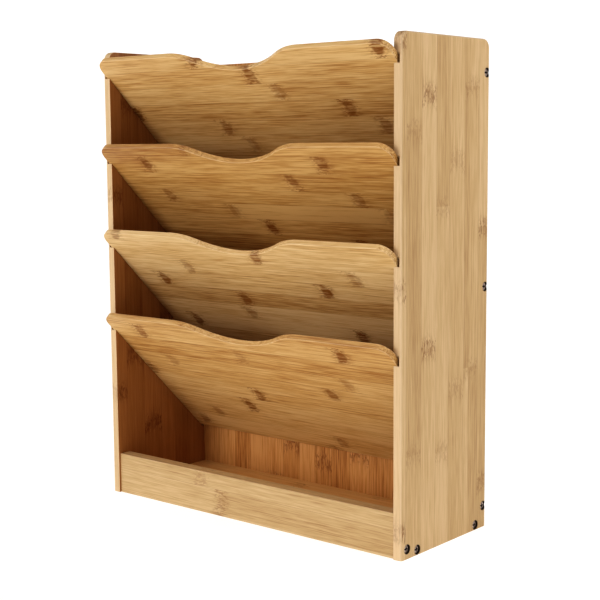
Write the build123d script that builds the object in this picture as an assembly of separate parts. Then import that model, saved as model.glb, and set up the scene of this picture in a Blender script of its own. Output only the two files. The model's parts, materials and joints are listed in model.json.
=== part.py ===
from build123d import *
import os
from math import acos, cos, degrees, radians, sin

# Desktop file sorter: a bamboo carcass with four sloped dividers that slide in grooves.
# X runs across, +Y to the back, +Z up. The origin is the middle of the underside. Sizes in mm.

# Carcass boards
overall_width = 334.0  # over the outer faces of the two side panels
overall_depth = 123.5  # front edge to back edge of a side panel
overall_height = 410.0
side_thickness = 8.0
side_corner_radius = 7.5  # top corners of a side panel, seen from the side
side_outer_round = 2.0  # arris round the outer face of a side panel
sanded_arris = 0.6  # every other arris that a hand can reach
back_thickness = 8.0
back_top_drop = 8.0  # from the top of the side panels down to the back panel's top edge
base_thickness = 8.5
rail_thickness = 12.0
rail_height = 37.0
rail_setback = 2.0  # from the side panels' front edges back to the rail

# Sloped dividers
divider_angle = 44.5  # degrees from horizontal
divider_thickness = 5.2
divider_overhang = 20.0  # up the slope, beyond the front edges of the side panels
divider_corner_radius = 12.0
top_margin = 23.6  # from the side panels' top down to where the top divider leaves them
under_divider_gap = 37.2  # at the back panel, from the base board up to the lowest divider
dip_depth = 18.5  # finger dip in the divider's top edge
dip_radius = 95.0
dip_blend_radius = 55.0  # where the dip runs out into the straight top edge

# Grooves in the side panels
groove_depth = 5.6
groove_play = 0.25  # between each face of a divider and the groove
divider_side_gap = 2.0  # between each end of a divider and the floor of its groove
divider_end_gap = 0.3  # between a seated divider and the back panel
groove_run_out = 0.5  # straight groove beyond the seated divider, before its round end

# Screws
thread_diameter = 3.8
screw_length = 25.0  # under the head
tip_length = 4.0
head_diameter = 7.2
head_height = 2.2
head_rim_height = 1.0
head_sink = 0.8  # from the side panel's outer face down to the head
counterbore_play = 0.2  # round the head
shank_play = 0.2  # round the thread where it passes through the side panel
pilot_play = 0.02  # round the thread where it holds in a board's end
pilot_run_out = 1.0  # pilot hole beyond the screw's tip
cross_length = 4.2
cross_width = 1.2
cross_depth = 1.5
rail_screw_height = 8.0
base_screw_inset = 8.0  # from the base board's front and rear edges
back_low_screw_height = 18.4
back_middle_screw_height = 206.5
back_top_screw_drop = 27.1  # from the top of the side panels

# What follows from those sizes
left, right = -1, 1
half_width = overall_width / 2
half_inner_width = half_width - side_thickness
front_y = -overall_depth / 2
back_y = overall_depth / 2
back_front_y = back_y - back_thickness
rail_front_y = front_y + rail_setback
base_front_y = rail_front_y + rail_thickness
slope_cos = cos(radians(divider_angle))
slope_sin = sin(radians(divider_angle))
seat_run = (back_front_y - divider_end_gap - divider_thickness * slope_sin - front_y) / slope_cos
lowest_mouth = base_thickness + under_divider_gap + seat_run * slope_sin
top_mouth = overall_height - top_margin
divider_names = ["divider_bottom", "divider_lower", "divider_upper", "divider_top"]
mouth_pitch = (top_mouth - lowest_mouth) / (len(divider_names) - 1)
divider_half_width = half_inner_width + groove_depth - divider_side_gap
counterbore_depth = head_sink + head_height

# Each screw's place on a side panel's outer face: the board it holds, then y and z
back_screw_y = back_y - back_thickness / 2
base_screw_z = base_thickness / 2
screws = {
    "rail_screw": ("front_rail", rail_front_y + rail_thickness / 2, rail_screw_height),
    "base_front_screw": ("base_board", base_front_y + base_screw_inset, base_screw_z),
    "base_rear_screw": ("base_board", back_front_y - base_screw_inset, base_screw_z),
    "back_low_screw": ("back_panel", back_screw_y, back_low_screw_height),
    "back_middle_screw": ("back_panel", back_screw_y, back_middle_screw_height),
    "back_top_screw": ("back_panel", back_screw_y, overall_height - back_top_screw_drop),
}


def board(low, high):
    """A square-edged board between two opposite corners."""
    centre = [(a + b) / 2 for a, b in zip(low, high)]
    return Pos(*centre) * Box(*[b - a for a, b in zip(low, high)])


def slope_plane(index):
    """The under face of a divider: x across, y down the slope from the mouth, z up through it."""
    mouth = lowest_mouth + index * mouth_pitch
    return Plane(origin=(0, front_y, mouth), x_dir=(1, 0, 0), z_dir=(0, slope_sin, slope_cos))


def screw_plane(side, name):
    """A screw's place on a side panel's outer face, with z outwards."""
    y, z = screws[name][1:]
    return Plane(origin=(side * half_width, y, z), x_dir=(0, 1, 0), z_dir=(side, 0, 0))


def rod(radius, low, high):
    """A cylinder on the z axis between two heights."""
    return Pos(0, 0, (low + high) / 2) * Cylinder(radius, high - low)


def panel_hole():
    """The stepped hole that a screw needs in a side panel, with z outwards."""
    counterbore = rod(head_diameter / 2 + counterbore_play, -counterbore_depth, side_thickness)
    return counterbore + rod(thread_diameter / 2 + shank_play, -2 * side_thickness, 0)


def pilot_hole():
    """The hole that a screw's thread holds in."""
    bottom = -counterbore_depth - screw_length - pilot_run_out
    return rod(thread_diameter / 2 + pilot_play, bottom, 0)


def drill_ends(part, board_name):
    """Pilot holes in both ends of a board, one for each of its screws."""
    for side in (left, right):
        for name, (held, _, _) in screws.items():
            if held == board_name:
                part -= screw_plane(side, name) * pilot_hole()
    return part


def groove(index):
    """The round-ended space that a divider slides in, as wide as from groove floor to groove floor."""
    width = divider_thickness + 2 * groove_play
    end = seat_run + groove_run_out
    reach = half_inner_width + groove_depth
    middle = divider_thickness / 2
    slot = Pos(0, (end - divider_overhang) / 2, middle) * Box(2 * reach, end + divider_overhang, width)
    slot += Pos(0, end, middle) * Rot(0, 90, 0) * Cylinder(width / 2, 2 * reach)
    return slope_plane(index) * slot


def edges_round_face(panel, side, face_number):
    """The edges of a side panel's inner (0) or outer (1) face, but for the one it stands on."""
    inner_and_outer = panel.faces().filter_by(Axis.X).sort_by(Axis.X)[::side]
    return inner_and_outer[face_number].edges().sort_by(Axis.Z)[1:]


def side_panel(side):
    low_x, high_x = sorted((side * half_inner_width, side * half_width))
    panel = board((low_x, front_y, 0), (high_x, back_y, overall_height))
    panel = fillet(panel.edges().filter_by(Axis.X).group_by(Axis.Z)[-1], side_corner_radius)
    panel = fillet(edges_round_face(panel, side, 1), side_outer_round)
    panel = fillet(edges_round_face(panel, side, 0), sanded_arris)
    for index in range(len(divider_names)):
        panel -= groove(index)
    for name in screws:
        panel -= screw_plane(side, name) * panel_hole()
    return panel


def back_panel():
    top = overall_height - back_top_drop
    part = board((-half_inner_width, back_front_y, 0), (half_inner_width, back_y, top))
    part = fillet(part.edges().filter_by(Axis.X).group_by(Axis.Z)[-1], sanded_arris)
    return drill_ends(part, "back_panel")


def base_board():
    part = board((-half_inner_width, base_front_y, 0), (half_inner_width, back_front_y, base_thickness))
    return drill_ends(part, "base_board")


def front_rail():
    part = board((-half_inner_width, rail_front_y, 0), (half_inner_width, base_front_y, rail_height))
    part = fillet(part.edges().filter_by(Axis.X).group_by(Axis.Z)[-1], sanded_arris)
    return drill_ends(part, "front_rail")


def divider_outline():
    """A divider seen square on, y down the slope from the mouth."""
    top = -divider_overhang
    bottom = seat_run
    turn = degrees(acos(1 - dip_depth / (dip_radius + dip_blend_radius)))
    dip_half_width = (dip_radius + dip_blend_radius) * sin(radians(turn))
    dip_centre = (0, top + dip_depth - dip_radius)
    corner_x = divider_half_width - divider_corner_radius
    corner_y = top + divider_corner_radius
    blend_y = top + dip_blend_radius
    edges = [
        CenterArc((-corner_x, corner_y), divider_corner_radius, 180, 90),
        Line((-corner_x, top), (-dip_half_width, top)),
        CenterArc((-dip_half_width, blend_y), dip_blend_radius, 270, turn),
        CenterArc(dip_centre, dip_radius, 90 - turn, 2 * turn),
        CenterArc((dip_half_width, blend_y), dip_blend_radius, 270 - turn, turn),
        Line((dip_half_width, top), (corner_x, top)),
        CenterArc((corner_x, corner_y), divider_corner_radius, 270, 90),
        Line((divider_half_width, corner_y), (divider_half_width, bottom)),
        Line((divider_half_width, bottom), (-divider_half_width, bottom)),
        Line((-divider_half_width, bottom), (-divider_half_width, corner_y)),
    ]
    return make_face(edges)


def divider(index):
    blank = extrude(divider_outline(), divider_thickness)
    flat_faces = blank.faces().filter_by(Axis.Z)
    blank = fillet([edge for face in flat_faces for edge in face.edges()], sanded_arris)
    return slope_plane(index) * blank


def screw(side, name):
    """A pan head with a cross recess on a plain shank, with z outwards."""
    seat = -counterbore_depth
    tip = seat - screw_length
    shoulder = tip + tip_length
    shank_radius = thread_diameter / 2
    half_head = head_diameter / 2
    head_top = seat + head_height
    dome = head_height - head_rim_height
    profile = make_face([
        Polyline((0, head_top), (0, tip), (shank_radius, shoulder), (shank_radius, seat),
                 (half_head, seat), (half_head, seat + head_rim_height)),
        EllipticalCenterArc((0, seat + head_rim_height), half_head, dome, arc_size=90),
    ])
    body = revolve(Plane.XZ * profile, Axis.Z)
    for angle in (0, 90):
        cut = Rot(0, 0, angle) * Box(cross_length, cross_width, 2 * cross_depth)
        body -= Pos(0, 0, head_top) * cut
    return screw_plane(side, name) * body


def make_nodes():
    nodes = {
        "left_side_panel": side_panel(left),
        "right_side_panel": side_panel(right),
        "back_panel": back_panel(),
        "base_board": base_board(),
        "front_rail": front_rail(),
    }
    for index, name in enumerate(divider_names):
        nodes[name] = divider(index)
    for side, side_name in ((left, "left"), (right, "right")):
        for name in screws:
            nodes[f"{name}_{side_name}"] = screw(side, name)
    return nodes


os.makedirs("parts", exist_ok=True)
for node, shape in make_nodes().items():
    export_step(shape, f"parts/{node}.step")
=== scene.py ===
import json
from math import atan2, cos, pi, radians, sin

import bmesh
import bpy
from mathutils import Matrix, Vector


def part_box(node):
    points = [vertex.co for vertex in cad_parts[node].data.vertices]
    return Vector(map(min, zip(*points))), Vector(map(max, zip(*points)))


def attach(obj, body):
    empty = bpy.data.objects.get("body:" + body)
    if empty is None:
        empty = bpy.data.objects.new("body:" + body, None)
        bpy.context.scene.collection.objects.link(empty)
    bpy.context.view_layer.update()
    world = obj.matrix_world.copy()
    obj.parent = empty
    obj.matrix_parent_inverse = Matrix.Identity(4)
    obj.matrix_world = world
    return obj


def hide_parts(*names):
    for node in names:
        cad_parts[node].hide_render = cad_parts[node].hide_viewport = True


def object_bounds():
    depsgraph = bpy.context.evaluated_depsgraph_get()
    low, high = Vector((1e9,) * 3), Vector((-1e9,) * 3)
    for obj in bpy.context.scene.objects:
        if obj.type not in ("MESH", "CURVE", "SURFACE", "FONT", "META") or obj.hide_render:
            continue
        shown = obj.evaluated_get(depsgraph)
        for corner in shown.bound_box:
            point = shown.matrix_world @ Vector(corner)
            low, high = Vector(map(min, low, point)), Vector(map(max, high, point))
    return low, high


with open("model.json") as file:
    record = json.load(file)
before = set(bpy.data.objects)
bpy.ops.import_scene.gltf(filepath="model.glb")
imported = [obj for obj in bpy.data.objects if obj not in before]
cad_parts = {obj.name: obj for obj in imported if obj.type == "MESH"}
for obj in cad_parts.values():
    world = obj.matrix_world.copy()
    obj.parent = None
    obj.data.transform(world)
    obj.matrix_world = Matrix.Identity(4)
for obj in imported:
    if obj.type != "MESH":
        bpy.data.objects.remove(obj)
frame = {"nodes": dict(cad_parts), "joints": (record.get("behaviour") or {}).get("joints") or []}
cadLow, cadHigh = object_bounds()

nodes = frame["nodes"]
scene = bpy.context.scene
scene.view_settings.view_transform = "Standard"
scene.view_settings.look = "High Contrast"
print("frame loaded,", len(nodes), "nodes")

# how the camera stands: metres to the right, front and up from the middle of the underside, then degrees
cameraSetup = {
    "right": 0.7337,
    "front": 0.8583,
    "up": 0.3272,
    "heading": 40.0,
    "tilt": -7.0,
    "roll": -0.43,
    "lens": 77.0,  # mm, and so is the sensor's width
    "sensorWidth": 36.0,
}


def makeCamera(setup):
    data = bpy.data.cameras.new("camera")
    data.lens = setup["lens"]
    data.sensor_width = setup["sensorWidth"]
    camera = bpy.data.objects.new("camera", data)
    turn = (Matrix.Rotation(radians(setup["heading"]), 4, "Z")
            @ Matrix.Rotation(radians(90 + setup["tilt"]), 4, "X")
            @ Matrix.Rotation(radians(setup["roll"]), 4, "Z"))
    place = Matrix.Translation((setup["right"], -setup["front"], setup["up"]))
    camera.matrix_world = place @ turn
    scene.collection.objects.link(camera)
    scene.camera = camera


makeCamera(cameraSetup)


# small helpers for building node trees
def put(tree, kind, **settings):
    node = tree.nodes.new(kind)
    for name, value in settings.items():
        setattr(node, name, value)
    return node


def feed(tree, socket, value):
    # a socket is linked, and a plain value is typed in
    if isinstance(value, bpy.types.NodeSocket):
        tree.links.new(value, socket)
    elif value is not None:
        socket.default_value = value


def split(tree, vector):
    node = put(tree, "ShaderNodeSeparateXYZ")
    feed(tree, node.inputs[0], vector)
    return node.outputs


def sums(tree, operation, first, second=None, third=None, clamp=False):
    node = put(tree, "ShaderNodeMath", operation=operation, use_clamp=clamp)
    for socket, value in zip(node.inputs, (first, second, third)):
        feed(tree, socket, value)
    return node.outputs[0]


def plus(tree, first, second):
    return sums(tree, "ADD", first, second)


def times(tree, first, second):
    return sums(tree, "MULTIPLY", first, second)


def diagonal(tree, first, second):
    # the straight distance that two distances at a right angle make
    return sums(tree, "SQRT", plus(tree, times(tree, first, first), times(tree, second, second)))


def between(tree, share, low, high):
    # straight from low to high as the share goes from 0 to 1
    return sums(tree, "MULTIPLY_ADD", share, high - low, low)


def ramp(tree, value, low, high, toLow=0.0, toHigh=1.0):
    # smoothly from one value to another as the input goes from low to high
    node = put(tree, "ShaderNodeMapRange", interpolation_type="SMOOTHSTEP")
    for name, number in (("Value", value), ("From Min", low), ("From Max", high), ("To Min", toLow),
                         ("To Max", toHigh)):
        feed(tree, node.inputs[name], number)
    return node.outputs["Result"]


def stretched(tree, along, across, through, repeats):
    # a position stretched so that one unit of each direction holds that many repeats
    node = put(tree, "ShaderNodeCombineXYZ")
    for socket, value, scale in zip(node.inputs, (along, across, through), repeats):
        feed(tree, socket, times(tree, value, scale))
    return node.outputs[0]


def cloud(tree, place, scale=1.0, detail=2.0, roughness=0.5, warp=0.0):
    node = put(tree, "ShaderNodeTexNoise", noise_dimensions="3D")
    for name, value in (("Vector", place), ("Scale", scale), ("Detail", detail), ("Roughness", roughness),
                        ("Distortion", warp)):
        feed(tree, node.inputs[name], value)
    return node.outputs["Fac"]


def blendColours(tree, amount, first, second, mode="MIX"):
    node = put(tree, "ShaderNodeMix", data_type="RGBA", blend_type=mode)
    for name, value in (("Factor_Float", amount), ("A_Color", first), ("B_Color", second)):
        feed(tree, next(s for s in node.inputs if s.identifier == name), value)
    return next(s for s in node.outputs if s.identifier == "Result_Color")


def addBump(tree, shader, height, distance, strength=1.0):
    node = put(tree, "ShaderNodeBump")
    for name, value in (("Height", height), ("Distance", distance), ("Strength", strength)):
        feed(tree, node.inputs[name], value)
    feed(tree, shader.inputs["Normal"], node.outputs["Normal"])


def newMaterial(name):
    material = bpy.data.materials.new(name)
    material.use_nodes = True
    return material, material.node_tree, material.node_tree.nodes["Principled BSDF"]


# soft studio light: each lamp's heading from the front, height angle, distance, size in metres and watts
lampSetup = {
    "key": {"heading": -14, "height": 10, "distance": 1.9, "size": 0.7, "power": 10},
    "side": {"heading": 104, "height": 42, "distance": 1.5, "size": 0.8, "power": 4.9},
    "top": {"heading": -8, "height": 60, "distance": 1.9, "size": 1.2, "power": 5},
}
studio = {
    "sky": 0.05,  # strength of the even white light all round
    "paperColour": (0.6, 0.6, 0.6, 1),
    "paperRoughness": 0.9,
    "paperGlow": (0.26, 0.46),  # in front of the object and behind it
    "glowDepths": (-0.5, -0.1),  # metres to the back where the glow starts to change and ends
    "floorHole": 0.001,  # radius of the innermost ring, under the object
    "floorRadius": 2.4,
    "coveRadius": 0.8,
    "coveHeight": 2.6,
    "coveSteps": 10,
    "coveSides": 96,
}


def makeLamps(setup, aim):
    for name, lamp in setup.items():
        data = bpy.data.lights.new(name, "AREA")
        data.shape = "DISK"
        data.size = lamp["size"]
        data.energy = lamp["power"]
        heading, height = radians(lamp["heading"]), radians(lamp["height"])
        away = Vector((sin(heading) * cos(height), -cos(heading) * cos(height), sin(height)))
        light = bpy.data.objects.new(name, data)
        light.location = aim + away * lamp["distance"]
        light.rotation_mode = "QUATERNION"
        light.rotation_quaternion = (-away).to_track_quat("-Z", "Y")
        scene.collection.objects.link(light)


def makeSky(strength):
    world = bpy.data.worlds.new("sky")
    world.use_nodes = True
    background = world.node_tree.nodes["Background"]
    background.inputs["Color"].default_value = (1, 1, 1, 1)
    background.inputs["Strength"].default_value = strength
    scene.world = world


def makePaper(setup):
    # white paper that glows more behind the object than in front of it
    paper, tree, shader = newMaterial("paper")
    shader.inputs["Base Color"].default_value = setup["paperColour"]
    shader.inputs["Roughness"].default_value = setup["paperRoughness"]
    shader.inputs["Emission Color"].default_value = (1, 1, 1, 1)
    place = split(tree, put(tree, "ShaderNodeTexCoord").outputs["Object"])
    glow = ramp(tree, place["Y"], *setup["glowDepths"], *setup["paperGlow"])
    feed(tree, shader.inputs["Emission Strength"], glow)
    return paper


def makeFloor(setup):
    # a round flat floor that curves up into a wall all round the object
    edge, bend = setup["floorRadius"], setup["coveRadius"]
    outline = [(setup["floorHole"], 0.0)]
    for step in range(setup["coveSteps"] + 1):
        angle = pi / 2 * step / setup["coveSteps"]
        outline.append((edge + bend * sin(angle), bend * (1 - cos(angle))))
    outline.append((edge + bend, setup["coveHeight"]))
    sides = setup["coveSides"]
    turns = [2 * pi * side / sides for side in range(sides)]
    points = [(radius * cos(turn), radius * sin(turn), z) for radius, z in outline for turn in turns]
    faces = []
    for ring in range(len(outline) - 1):
        for side in range(sides):
            here = ring * sides + side
            beside = ring * sides + (side + 1) % sides
            faces.append((here, here + sides, beside + sides, beside))
    mesh = bpy.data.meshes.new("floor")
    mesh.from_pydata(points, [], faces)
    for face in mesh.polygons:
        face.use_smooth = True
    mesh.materials.append(makePaper(setup))
    floor = bpy.data.objects.new("floor", mesh)
    scene.collection.objects.link(floor)


middle = (cadLow + cadHigh) / 2
makeLamps(lampSetup, middle)
makeSky(studio["sky"])
makeFloor(studio)
print("camera, lamps and floor made")

# bamboo board: strips glued side by side, each with its own tone, fibres and knuckle marks
# sizes are in metres, and a pair of levels is where something starts to show and where it is full
bamboo = {
    "stripWidth": 0.0205,
    "stripUnevenness": 0.3,
    "faceShift": 41.3,  # strips from the pattern of one broad face to the other's
    "fibreShift": 5.0,  # metres along the grain that the strips' fibres are shuffled by
    "glueReach": 0.0004,  # from the middle of a glue line to where it has faded out
    "glueDarkness": 0.3,
    "layers": {  # repeats in a metre along, across and through the board, then detail and warp
        "fibres": ((16, 1300, 1300), 2.0, 0.0),
        "streaks": ((8, 380, 380), 3.0, 0.15),
        "clouds": ((4, 60, 60), 2.0, 0.0),
        "specks": ((210, 640, 640), 2.0, 0.6),
        "dashes": ((38, 720, 720), 2.0, 0.2),
        "wave": ((30, 260, 260), 2.0, 0.0),
    },
    "layerRoughness": 0.6,
    "knuckleSpacing": (0.168, 0.273),  # the shortest and the longest
    "knuckleShift": 7.3,  # spacings that the strips' knuckles are shuffled by
    "knuckleBow": 0.012,  # bend of a knuckle's line along the grain, a whole strip width off the middle
    "knuckleRipple": 0.0025,
    "barSize": (0.0061, 0.0102),  # half length along and across the grain of a knuckle's dark bar
    "barAside": 0.15,  # strip widths that a bar may lie off its strip's middle
    "barFade": (0.6, 1.1),  # shares of its half size where a bar starts to fade and ends
    "barDashes": (0.42, 0.56),  # levels of the dashes that it is made of
    "barStrength": (0.42, 1.10),  # between those dashes and on them
    "trails": {  # what else a knuckle leaves: levels, distances where it fades, and strength
        "specks": ((0.49, 0.58), (0.00325, 0.013), 0.8),
        "dashes": ((0.52, 0.66), (0.0020, 0.020), 0.5),
    },
    "markStrength": (0.4, 1.0),  # the faintest strip's and the boldest one's
    "boldFrom": 0.8,  # a strip's random number from which its marks are boldest
    "stripTone": 0.7,
    "middleTone": 0.40,
    "toneWeights": {"streaks": 0.5, "clouds": 0.55},
    "grainWeights": {"fibres": 0.9, "dashes": 0.9},
    "middleLevels": (0.05, 0.5),  # tones where pale gives way to the middle colour
    "deepLevels": (0.42, 0.95),
    # pale colour of sanded edges and arrises, which also serves as a painted highlight
    "edgeWearAndHighlight": (0.74, 0.56, 0.37, 1),
    "arrisWearAndHighlight": 0.34,
    "pores": 1100,  # dots in a metre of end grain
    "poreSize": (0.18, 0.42),
    "poreDarkness": (0.75, 0.1),  # in a pore and between them
    "faces": {  # how squarely a face has to look across, along or through the board to count as one
        "otherFace": (0.4, 0.6),
        "insideFace": (0.5, 0.9),
        "longEdge": (0.5, 0.9),
        "endGrain": (0.6, 0.95),
        "arrisStart": (0.1, 0.3),  # an arris looks partly through the board
        "arrisEnd": (0.85, 0.97),
    },
    "roughness": (0.40, 0.58),
    "markRoughness": 0.15,  # added on a mark
    "bumpHeight": 0.00012,
    "bumpStrength": 0.6,
    "specular": 0.35,
}
bambooInputs = {
    "Place": "NodeSocketVector",
    "Facing": "NodeSocketVector",
    "Seed": "NodeSocketFloat",
    "Strips": "NodeSocketFloat",  # how much the strips differ in tone
    "Grain": "NodeSocketFloat",
    "Marks": "NodeSocketFloat",
    "Bars": "NodeSocketFloat",
    "Edges": "NodeSocketFloat",  # how pale the long edges are, partly pale sanded side grain and partly painted highlight
    "Inside": "NodeSocketFloat",  # 1 or -1, the way through the board to its inside, or 0
    "Pale": "NodeSocketColor",
    "Middle": "NodeSocketColor",
    "Deep": "NodeSocketColor",
    "Mark": "NodeSocketColor",
    "Inner": "NodeSocketColor",  # painted shade multiplied onto the inside face
}
bambooOutputs = {
    "Colour": "NodeSocketColor",
    "Roughness": "NodeSocketFloat",
    "Height": "NodeSocketFloat",
}


def findStrip(tree, setup, seed, across, tilt):
    # a strip's own place, three random numbers for it, how far off its middle a point is, and its glue line
    otherFace = times(tree, ramp(tree, tilt, *setup["faces"]["otherFace"]), setup["faceShift"])
    place = plus(tree, sums(tree, "DIVIDE", across, setup["stripWidth"]), plus(tree, seed, otherFace))
    strip = put(tree, "ShaderNodeTexVoronoi", voronoi_dimensions="1D")
    edge = put(tree, "ShaderNodeTexVoronoi", voronoi_dimensions="1D", feature="DISTANCE_TO_EDGE")
    for node in (strip, edge):
        feed(tree, node.inputs["W"], place)
        feed(tree, node.inputs["Scale"], 1.0)
        feed(tree, node.inputs["Randomness"], setup["stripUnevenness"])
    chances = put(tree, "ShaderNodeSeparateColor")
    feed(tree, chances.inputs[0], strip.outputs["Color"])
    own = strip.outputs["W"]
    glueReach = setup["glueReach"] / setup["stripWidth"]
    glue = ramp(tree, edge.outputs["Distance"], 0.0, glueReach, 1.0, 0.0)
    return own, chances.outputs, sums(tree, "SUBTRACT", place, own), glue


def makeLayers(tree, setup, along, across, through):
    # fibres, streaks and the like, all drawn out along the grain
    layers = {}
    for name, (repeats, detail, warp) in setup["layers"].items():
        place = stretched(tree, along, across, through, repeats)
        layers[name] = cloud(tree, place, 1.0, detail, setup["layerRoughness"], warp)
    return layers


def findKnuckle(tree, setup, layers, along, own, chances, offMiddle):
    # how far along the grain the strip's nearest knuckle is, and a random number for the length between two
    spacing = between(tree, chances[1], *setup["knuckleSpacing"])
    count = sums(tree, "DIVIDE", along, spacing)
    count = sums(tree, "MULTIPLY_ADD", chances[2], setup["knuckleShift"], count)
    straight = times(tree, sums(tree, "SUBTRACT", sums(tree, "FRACT", count), 0.5), spacing)
    bow = times(tree, times(tree, offMiddle, offMiddle), setup["knuckleBow"])
    ripple = between(tree, layers["wave"], -setup["knuckleRipple"], setup["knuckleRipple"])
    pair = put(tree, "ShaderNodeCombineXYZ")
    feed(tree, pair.inputs[0], own)
    feed(tree, pair.inputs[1], sums(tree, "FLOOR", plus(tree, count, 0.5)))
    stretch = put(tree, "ShaderNodeTexWhiteNoise", noise_dimensions="2D")
    feed(tree, stretch.inputs["Vector"], pair.outputs[0])
    return plus(tree, plus(tree, straight, bow), ripple), stretch.outputs["Value"]


def makeMarks(tree, setup, given, layers, chances, offMiddle, fromKnuckle):
    # a dark bar at each knuckle, with specks round it and dashes that trail along the grain
    halfLength, halfWidth = setup["barSize"]
    shift = between(tree, chances[0], -setup["barAside"], setup["barAside"])
    aside = times(tree, plus(tree, offMiddle, shift), setup["stripWidth"] / halfWidth)
    ahead = sums(tree, "DIVIDE", fromKnuckle, halfLength)
    bar = ramp(tree, diagonal(tree, aside, ahead), *setup["barFade"], 1.0, 0.0)
    dashed = between(tree, ramp(tree, layers["dashes"], *setup["barDashes"]), *setup["barStrength"])
    shown = times(tree, times(tree, bar, dashed), given["Bars"])
    distance = sums(tree, "ABSOLUTE", fromKnuckle)
    for name, (levels, fade, strength) in setup["trails"].items():
        dots = ramp(tree, layers[name], *levels)
        trail = times(tree, dots, ramp(tree, distance, *fade, strength, 0.0))
        shown = sums(tree, "MAXIMUM", shown, trail)
    bold = ramp(tree, chances[2], 0.0, setup["boldFrom"], *setup["markStrength"])
    return sums(tree, "MULTIPLY", times(tree, shown, bold), given["Marks"], clamp=True)


def makeTone(tree, setup, given, layers, chances, stretch):
    # the strip's own tone and its stretch's between two knuckles, then streaks, clouds and fibres on it
    def swing(name, weight):
        return between(tree, layers[name], -weight / 2, weight / 2)

    own = between(tree, plus(tree, stretch, chances[1]), -setup["stripTone"], 0.0)
    tone = sums(tree, "MULTIPLY_ADD", own, given["Strips"], setup["middleTone"])
    for name, weight in setup["toneWeights"].items():
        tone = plus(tree, swing(name, weight), tone)
    for name, weight in setup["grainWeights"].items():
        tone = sums(tree, "MULTIPLY_ADD", swing(name, weight), given["Grain"], tone)
    return tone


def makeFaces(tree, setup, given, colour, place, facing):
    # sanded long edges and arrises are paler, partly as painted highlight; the inside face gets painted
    # shade; and end grain has dark pores
    faces = setup["faces"]
    squareness = [sums(tree, "ABSOLUTE", way) for way in facing]
    onEdge = times(tree, ramp(tree, squareness[1], *faces["longEdge"]), given["Edges"])
    colour = blendColours(tree, onEdge, colour, setup["edgeWearAndHighlight"])
    # arrises paler: partly sanded wear, partly painted highlight
    arris = times(tree, ramp(tree, squareness[2], *faces["arrisStart"]),
                  ramp(tree, squareness[2], *faces["arrisEnd"], setup["arrisWearAndHighlight"], 0.0))
    colour = blendColours(tree, arris, colour, setup["edgeWearAndHighlight"])
    # painted shade: the inside face is multiplied darker, and on the back panel warmer as painted bounced
    # light
    inside = ramp(tree, times(tree, facing[2], given["Inside"]), *faces["insideFace"])
    colour = blendColours(tree, inside, colour, given["Inner"], "MULTIPLY")
    pores = put(tree, "ShaderNodeTexVoronoi", voronoi_dimensions="3D")
    feed(tree, pores.inputs["Vector"], stretched(tree, *place, (0, setup["pores"], setup["pores"])))
    feed(tree, pores.inputs["Scale"], 1.0)
    dots = ramp(tree, pores.outputs["Distance"], *setup["poreSize"], *setup["poreDarkness"])
    onEnd = ramp(tree, squareness[0], *faces["endGrain"])
    return blendColours(tree, times(tree, onEnd, dots), colour, given["Mark"])


def makeBambooGroup(setup, inputs, outputs):
    tree = bpy.data.node_groups.new("bambooStrips", "ShaderNodeTree")
    for way, sockets in (("INPUT", inputs), ("OUTPUT", outputs)):
        for name, kind in sockets.items():
            tree.interface.new_socket(name=name, in_out=way, socket_type=kind)
    given = put(tree, "NodeGroupInput").outputs
    result = put(tree, "NodeGroupOutput")
    place = split(tree, given["Place"])
    facing = split(tree, given["Facing"])
    along, across, through = place
    own, chances, offMiddle, glue = findStrip(tree, setup, given["Seed"], across, facing[2])
    shuffled = sums(tree, "MULTIPLY_ADD", chances[0], setup["fibreShift"], along)
    layers = makeLayers(tree, setup, shuffled, across, through)
    fromKnuckle, stretch = findKnuckle(tree, setup, layers, along, own, chances, offMiddle)
    marks = makeMarks(tree, setup, given, layers, chances, offMiddle, fromKnuckle)
    tone = makeTone(tree, setup, given, layers, chances, stretch)

    colour = blendColours(tree, ramp(tree, tone, *setup["middleLevels"]), given["Pale"], given["Middle"])
    colour = blendColours(tree, ramp(tree, tone, *setup["deepLevels"]), colour, given["Deep"])
    colour = blendColours(tree, times(tree, glue, setup["glueDarkness"]), colour, given["Mark"])
    colour = blendColours(tree, marks, colour, given["Mark"])
    colour = makeFaces(tree, setup, given, colour, place, facing)
    gloss = between(tree, layers["streaks"], *setup["roughness"])
    gloss = sums(tree, "MULTIPLY_ADD", marks, setup["markRoughness"], gloss)
    raised = plus(tree, layers["streaks"], layers["fibres"])
    height = times(tree, sums(tree, "SUBTRACT", raised, plus(tree, glue, marks)), 0.5)
    for name, value in (("Colour", colour), ("Roughness", gloss), ("Height", height)):
        feed(tree, result.inputs[name], value)
    return tree


bambooGroup = makeBambooGroup(bamboo, bambooInputs, bambooOutputs)

# the palettes that the boards are cut from
paletteNames = ("Pale", "Middle", "Deep", "Mark")
palettes = {
    "side": ((0.63, 0.445, 0.245), (0.53, 0.355, 0.17), (0.40, 0.235, 0.098), (0.25, 0.115, 0.038)),
    "rail": ((0.62, 0.45, 0.25), (0.52, 0.355, 0.175), (0.36, 0.205, 0.08), (0.26, 0.12, 0.042)),
    # brighter than a plain board: painted light that makes up for the rail's shadow on the base board
    "base": ((0.86, 0.63, 0.35), (0.80, 0.54, 0.25), (0.62, 0.37, 0.14), (0.28, 0.13, 0.045)),
    "caramel": ((0.66, 0.42, 0.17), (0.52, 0.292, 0.092), (0.34, 0.142, 0.033), (0.24, 0.085, 0.012)),
    "honey": ((0.71, 0.485, 0.225), (0.59, 0.355, 0.132), (0.39, 0.182, 0.047), (0.25, 0.092, 0.014)),
    "straw": ((0.76, 0.55, 0.29), (0.65, 0.43, 0.19), (0.43, 0.225, 0.068), (0.25, 0.092, 0.014)),
    "back": ((0.67, 0.485, 0.285), (0.55, 0.36, 0.17), (0.36, 0.19, 0.072), (0.22, 0.095, 0.032)),
}

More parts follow.
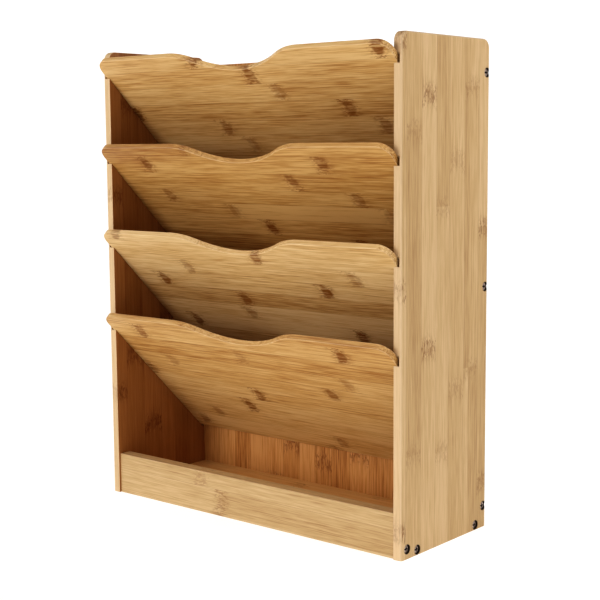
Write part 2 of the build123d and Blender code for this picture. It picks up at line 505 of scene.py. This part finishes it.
# how each board is cut: turn brings its grain to X and its width to Y, and a divider's slope is its slide's
slide = next(joint for joint in frame["joints"] if joint["type"] == "slide")
slope = atan2(slide["axis"][2], -slide["axis"][1])
plainBoard = {"edges": 0.0, "inside": 0, "inner": (1, 1, 1, 1)}
# the side panels' inside faces are darkened by painted shade
sideBoard = {**plainBoard, "palette": "side", "turn": (0, radians(90), 0), "strips": 0.55, "grain": 1.0,
             "marks": 0.95, "bars": 0.3, "edges": 0.4, "inner": (0.66, 0.43, 0.27, 1)}
dividerBoard = {**plainBoard, "turn": (slope, 0, 0), "strips": 0.45, "grain": 1.5, "marks": 1.0,
                "bars": 1.0, "edges": 0.1}
boards = {
    "left_side_panel": {**sideBoard, "seed": 3.0, "inside": -1},
    "right_side_panel": {**sideBoard, "seed": 11.4, "inside": 1},
    # the back panel's inside face gets painted shade, warmed as painted bounced light
    "back_panel": {**plainBoard, "palette": "back", "turn": (radians(90), 0, radians(90)), "seed": 27.3,
                   "strips": 0.42, "grain": 1.5, "marks": 0.9, "bars": 0.3, "inside": -1,
                   "inner": (1.0, 0.75, 0.49, 1)},
    "base_board": {**plainBoard, "palette": "base", "turn": (0, 0, 0), "seed": 40.2, "strips": 0.5,
                   "grain": 1.0, "marks": 0.7, "bars": 0.3},
    "front_rail": {**plainBoard, "palette": "rail", "turn": (radians(90), 0, 0), "seed": 52.7,
                   "strips": 0.35, "grain": 1.1, "marks": 0.7, "bars": 0.2, "edges": 0.2},
    "divider_bottom": {**dividerBoard, "palette": "honey", "seed": 63.7, "strips": 0.38},
    "divider_lower": {**dividerBoard, "palette": "straw", "seed": 74.2},
    "divider_upper": {**dividerBoard, "palette": "caramel", "seed": 88.9, "strips": 0.7},
    "divider_top": {**dividerBoard, "palette": "honey", "seed": 101.3},
}


def makeBamboo(name, cut):
    material, tree, shader = newMaterial(name)
    place = put(tree, "ShaderNodeTexCoord")
    board = put(tree, "ShaderNodeGroup", node_tree=bambooGroup)
    for kind, source, target in (("POINT", "Object", "Place"), ("NORMAL", "Normal", "Facing")):
        turned = put(tree, "ShaderNodeVectorRotate", rotation_type="EULER_XYZ")
        feed(tree, turned.inputs["Vector"], place.outputs[source])
        feed(tree, turned.inputs["Rotation"], cut["turn"])
        feed(tree, board.inputs[target], turned.outputs[0])
    for number in ("seed", "strips", "grain", "marks", "bars", "edges", "inside", "inner"):
        feed(tree, board.inputs[number.capitalize()], cut[number])
    for socket, colour in zip(paletteNames, palettes[cut["palette"]]):
        feed(tree, board.inputs[socket], (*colour, 1))
    feed(tree, shader.inputs["Base Color"], board.outputs["Colour"])
    feed(tree, shader.inputs["Roughness"], board.outputs["Roughness"])
    addBump(tree, shader, board.outputs["Height"], bamboo["bumpHeight"], bamboo["bumpStrength"])
    shader.inputs["Specular IOR Level"].default_value = bamboo["specular"]
    return material


def middleOf(name):
    low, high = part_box(name)
    return (low + high) / 2


screwNodes = sorted(name for name in nodes if "_screw_" in name)
screwLow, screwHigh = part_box(screwNodes[0])
holeShade = {
    "centres": [(middleOf(name).y, middleOf(name).z) for name in screwNodes if name.endswith("right")],
    "radius": (screwHigh.z - screwLow.z) / 2 + 0.0002,  # the head and its play
    "wallReach": (0.000045, 0.000135),  # outwards from the hole's wall, where the wall's painted shade fades
    "wallShade": 0.97,
    # how far a ring of painted shade reaches round each hole
    "halo": 0.0009,
    "haloShade": 0.45,
    "haloFace": (0.6, 0.9),  # how squarely a face has to look along the holes
    # the near-black colour of the painted shade
    "colour": (0.016, 0.008, 0.004, 1),
}


def paintHoleShade(material, holes):
    # painted shade inside the drilled holes, which run along X, and a ring of painted shade round them on
    # the faces they open in
    tree = material.node_tree
    shader = tree.nodes["Principled BSDF"]
    place = put(tree, "ShaderNodeTexCoord")
    squareness = sums(tree, "ABSOLUTE", split(tree, place.outputs["Normal"])["X"])
    flat = put(tree, "ShaderNodeVectorMath", operation="MULTIPLY")
    feed(tree, flat.inputs[0], place.outputs["Object"])
    feed(tree, flat.inputs[1], (0, 1, 1))
    distances = []
    for y, z in holes["centres"]:
        away = put(tree, "ShaderNodeVectorMath", operation="DISTANCE")
        feed(tree, away.inputs[0], flat.outputs[0])
        feed(tree, away.inputs[1], (0, y, z))
        distances.append(away.outputs["Value"])
    nearest = distances[0]
    for distance in distances[1:]:
        nearest = sums(tree, "MINIMUM", nearest, distance)
    radius = holes["radius"]
    wallStart, wallEnd = holes["wallReach"]
    wall = ramp(tree, nearest, radius + wallStart, radius + wallEnd, holes["wallShade"], 0.0)
    halo = ramp(tree, nearest, radius, radius + holes["halo"], holes["haloShade"], 0.0)
    halo = times(tree, halo, ramp(tree, squareness, *holes["haloFace"]))
    wood = shader.inputs["Base Color"].links[0].from_socket
    # painted shade blended over the bamboo in and round the holes
    shadedWood = blendColours(tree, sums(tree, "MAXIMUM", wall, halo), wood, holes["colour"])
    feed(tree, shader.inputs["Base Color"], shadedWood)


for boardName, cut in boards.items():
    bambooBoard = makeBamboo(boardName + "_bamboo", cut)
    if boardName.endswith("side_panel"):
        paintHoleShade(bambooBoard, holeShade)
    slots = nodes[boardName].data.materials
    slots.clear()
    slots.append(bambooBoard)
print("boards dressed in bamboo")

# wood screws: pan head with a cross recess, and a thread that the boards hide
screw = {
    "sizes": {  # metres, and each is an input of the tree
        "Head Diameter": 0.0072,
        "Head Height": 0.0022,
        "Dome Height": 0.0012,
        "Thread Diameter": 0.0038,
        "Thread Depth": 0.0005,
        "Thread Pitch": 0.0014,
        "Thread Start": 0.0003,  # radius of the thread's first turn, at the tip
        "Length": 0.025,
        "Tip Length": 0.004,
        "Tip Radius": 0.0001,
        "Recess Length": 0.0043,
        "Recess Width": 0.0012,
        "Recess Depth": 0.0015,
        "Recess Centre": 0.0030,
    },
    "headSides": 40,  # corners round the head, then rings up its side and in its dome
    "headRings": 2,
    "domeRings": 6,
    "wellSides": 16,
    "wellTaper": 0.5,  # the recess centre's radius at its bottom, as a share of that at its top
    "wellHeight": 1.2,  # its cutter's height and lowest point, as shares of the recess's depth
    "wellBottom": 1.1,
    "shankSides": 20,
    "threadSides": 3,
    "threadSteps": 14,  # in a turn
    "shadeDepth": (0.12, 0.4),  # shares of the recess's depth where its painted shade starts and is full
    "shadeReach": 0.52,  # from the head's middle, as a share of the recess's length
    "sharpAngle": 40,  # degrees between two faces, from which their edge stays crisp
    "steel": (0.60, 0.48, 0.41, 1),
    "tarnish": (0.38, 0.29, 0.24, 1),
    "paintedShade": (0.012, 0.007, 0.005, 1),  # painted shade in the recess
    "patches": 900,  # repeats in a metre
    "patchLevels": (0.4, 0.75),
    "roughness": (0.42, 0.60),
    "metallic": 0.65,
    "bumpHeight": 0.00003,
}


def makeScrewSteel(setup):
    material, tree, shader = newMaterial("plated_steel")
    place = put(tree, "ShaderNodeTexCoord").outputs["Object"]
    patches = cloud(tree, place, setup["patches"])
    tarnished = ramp(tree, patches, *setup["patchLevels"])
    colour = blendColours(tree, tarnished, setup["steel"], setup["tarnish"])
    # painted shade in the cross recess, darker with depth
    recessShade = put(tree, "ShaderNodeAttribute", attribute_name="recessShade")
    feed(tree, shader.inputs["Base Color"], blendColours(tree, recessShade.outputs["Fac"], colour, setup["paintedShade"]))
    feed(tree, shader.inputs["Roughness"], between(tree, tarnished, *setup["roughness"]))
    shader.inputs["Metallic"].default_value = setup["metallic"]
    addBump(tree, shader, patches, setup["bumpHeight"])
    return material


def makeScrewTree(setup):
    # a screw with its head's top at the origin and Z outwards, put on each point along its "outward"
    tree = bpy.data.node_groups.new("woodScrews", "GeometryNodeTree")
    tree.interface.new_socket(name="Places", in_out="INPUT", socket_type="NodeSocketGeometry")
    for name in setup["sizes"]:
        tree.interface.new_socket(name=name, in_out="INPUT", socket_type="NodeSocketFloat")
    tree.interface.new_socket(name="Finish", in_out="INPUT", socket_type="NodeSocketMaterial")
    tree.interface.new_socket(name="Screws", in_out="OUTPUT", socket_type="NodeSocketGeometry")
    given = put(tree, "NodeGroupInput").outputs
    result = put(tree, "NodeGroupOutput")

    def half(name):
        return times(tree, given[name], 0.5)

    def made(kind, values, **settings):
        node = put(tree, kind, **settings)
        for name, value in values.items():
            feed(tree, node.inputs[name], value)
        return node.outputs[0]

    def vector(x, y, z):
        return made("ShaderNodeCombineXYZ", {"X": x, "Y": y, "Z": z})

    def moved(shape, z, turn=0.0):
        return made("GeometryNodeTransform", {"Geometry": shape, "Translation": vector(0, 0, z),
                                              "Rotation": (0, 0, turn)})

    # head: a drum whose top is pressed into a dome, less the cross
    drum = made("GeometryNodeMeshCylinder", {
        "Vertices": setup["headSides"], "Side Segments": setup["headRings"],
        "Fill Segments": setup["domeRings"], "Radius": half("Head Diameter"),
        "Depth": given["Head Height"]}, fill_type="TRIANGLE_FAN")
    drum = moved(drum, times(tree, half("Head Height"), -1.0))
    spot = split(tree, made("GeometryNodeInputPosition", {}))
    fromAxis = diagonal(tree, spot["X"], spot["Y"])
    share = sums(tree, "MINIMUM", sums(tree, "DIVIDE", fromAxis, half("Head Diameter")), 1.0)
    rise = sums(tree, "SQRT", sums(tree, "SUBTRACT", 1.0, times(tree, share, share)))
    onTop = sums(tree, "GREATER_THAN", spot["Z"], times(tree, half("Head Height"), -0.5))
    fall = times(tree, times(tree, sums(tree, "SUBTRACT", 1.0, rise), onTop), given["Dome Height"])
    lowered = vector(0, 0, times(tree, fall, -1.0))
    head = made("GeometryNodeSetPosition", {"Geometry": drum, "Offset": lowered})
    slotSize = vector(given["Recess Length"], given["Recess Width"], times(tree, given["Recess Depth"], 2.0))
    slot = made("GeometryNodeMeshCube", {"Size": slotSize})
    well = made("GeometryNodeMeshCone", {
        "Vertices": setup["wellSides"], "Radius Top": half("Recess Centre"),
        "Radius Bottom": times(tree, half("Recess Centre"), setup["wellTaper"]),
        "Depth": times(tree, given["Recess Depth"], setup["wellHeight"])})
    well = moved(well, times(tree, given["Recess Depth"], -setup["wellBottom"]))
    cut = put(tree, "GeometryNodeMeshBoolean", operation="DIFFERENCE", solver="EXACT")
    feed(tree, cut.inputs[0], head)
    for tool in (moved(slot, 0.0), moved(slot, 0.0, pi / 2), well):
        tree.links.new(tool, cut.inputs[1])

    # how deep in the recess a point is, kept as painted shade for the finish
    below = times(tree, spot["Z"], -1.0)
    depth = sums(tree, "DIVIDE", below, given["Recess Depth"], clamp=True)
    within = sums(tree, "LESS_THAN", fromAxis, times(tree, given["Recess Length"], setup["shadeReach"]))
    paintedShade = times(tree, ramp(tree, depth, *setup["shadeDepth"]), within)
    head = made("GeometryNodeStoreNamedAttribute", {"Geometry": cut.outputs[0], "Name": "recessShade",
                                                    "Value": paintedShade}, data_type="FLOAT", domain="POINT")

    # shank: a core with a ridge wound round it, and a tip
    coreRadius = sums(tree, "SUBTRACT", half("Thread Diameter"), given["Thread Depth"])
    straight = sums(tree, "SUBTRACT", given["Length"], given["Tip Length"])
    shoulder = times(tree, plus(tree, given["Head Height"], straight), -1.0)
    end = sums(tree, "SUBTRACT", shoulder, given["Tip Length"])
    core = made("GeometryNodeMeshCylinder", {"Vertices": setup["shankSides"], "Radius": coreRadius,
                                             "Depth": straight})
    core = moved(core, sums(tree, "MULTIPLY_ADD", straight, 0.5, shoulder))
    tip = made("GeometryNodeMeshCone", {"Vertices": setup["shankSides"], "Radius Top": coreRadius,
                                        "Radius Bottom": given["Tip Radius"], "Depth": given["Tip Length"]})
    tip = moved(tip, end)
    ridge = made("GeometryNodeCurvePrimitiveCircle", {"Resolution": setup["threadSides"],
                                                      "Radius": given["Thread Depth"]}, mode="RADIUS")
    windings = []
    for start, length, lowRadius in ((shoulder, straight, coreRadius),
                                     (end, given["Tip Length"], given["Thread Start"])):
        turns = sums(tree, "DIVIDE", length, given["Thread Pitch"])
        line = made("GeometryNodeCurveSpiral", {
            "Resolution": setup["threadSteps"], "Rotations": turns, "Start Radius": lowRadius,
            "End Radius": coreRadius, "Height": length, "Reverse": False})
        swept = made("GeometryNodeCurveToMesh", {"Curve": line, "Profile Curve": ridge, "Fill Caps": True})
        windings.append(moved(swept, start))

    whole = put(tree, "GeometryNodeJoinGeometry")
    for shape in (head, core, tip, *windings):
        tree.links.new(shape, whole.inputs[0])
    outward = made("GeometryNodeInputNamedAttribute", {"Name": "outward"}, data_type="FLOAT_VECTOR")
    turned = made("FunctionNodeAlignRotationToVector", {"Vector": outward}, axis="Z")
    placed = made("GeometryNodeInstanceOnPoints", {"Points": given["Places"], "Instance": whole.outputs[0],
                                                   "Rotation": turned})
    real = made("GeometryNodeRealizeInstances", {"Geometry": placed})
    finished = made("GeometryNodeSetMaterial", {"Geometry": real, "Material": given["Finish"]})
    feed(tree, result.inputs[0], finished)
    return tree


def markScrewPlaces():
    # a point at each head's top, which looks outwards
    places, outward = [], []
    for name in screwNodes:
        centre = middleOf(name)
        side = 1 if centre.x > 0 else -1
        headTop = centre.x + side * (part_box(name)[1].x - centre.x)
        places.append((headTop, centre.y, centre.z))
        outward.append((side, 0, 0))
    mesh = bpy.data.meshes.new("screwPlaces")
    mesh.from_pydata(places, [], [])
    direction = mesh.attributes.new("outward", "FLOAT_VECTOR", "POINT")
    for item, way in zip(direction.data, outward):
        item.vector = way
    source = bpy.data.objects.new("screwPlaces", mesh)
    scene.collection.objects.link(source)
    return source


def makeScrews(setup):
    source = markScrewPlaces()
    tree = makeScrewTree(setup)
    modifier = source.modifiers.new("woodScrews", "NODES")
    modifier.node_group = tree
    sockets = {item.name: item.identifier for item in tree.interface.items_tree if item.in_out == "INPUT"}
    for name, value in setup["sizes"].items():
        modifier[sockets[name]] = value
    modifier[sockets["Finish"]] = makeScrewSteel(setup)
    evaluated = source.evaluated_get(bpy.context.evaluated_depsgraph_get())
    plain = bpy.data.meshes.new_from_object(evaluated)
    plain.name = "screws"
    bpy.data.objects.remove(source)
    shell = bmesh.new()
    shell.from_mesh(plain)
    bmesh.ops.recalc_face_normals(shell, faces=shell.faces)
    shell.to_mesh(plain)
    shell.free()
    plain.materials.pop(index=0)  # an empty slot that the tree leaves before the finish
    for face in plain.polygons:
        face.use_smooth = True
        face.material_index = 0
    plain.set_sharp_from_angle(angle=radians(setup["sharpAngle"]))
    screws = bpy.data.objects.new("screws", plain)
    scene.collection.objects.link(screws)
    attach(screws, "carcass")
    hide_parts(*screwNodes)
    return screws


screws = makeScrews(screw)
print("screws made,", len(screws.data.polygons), "faces")
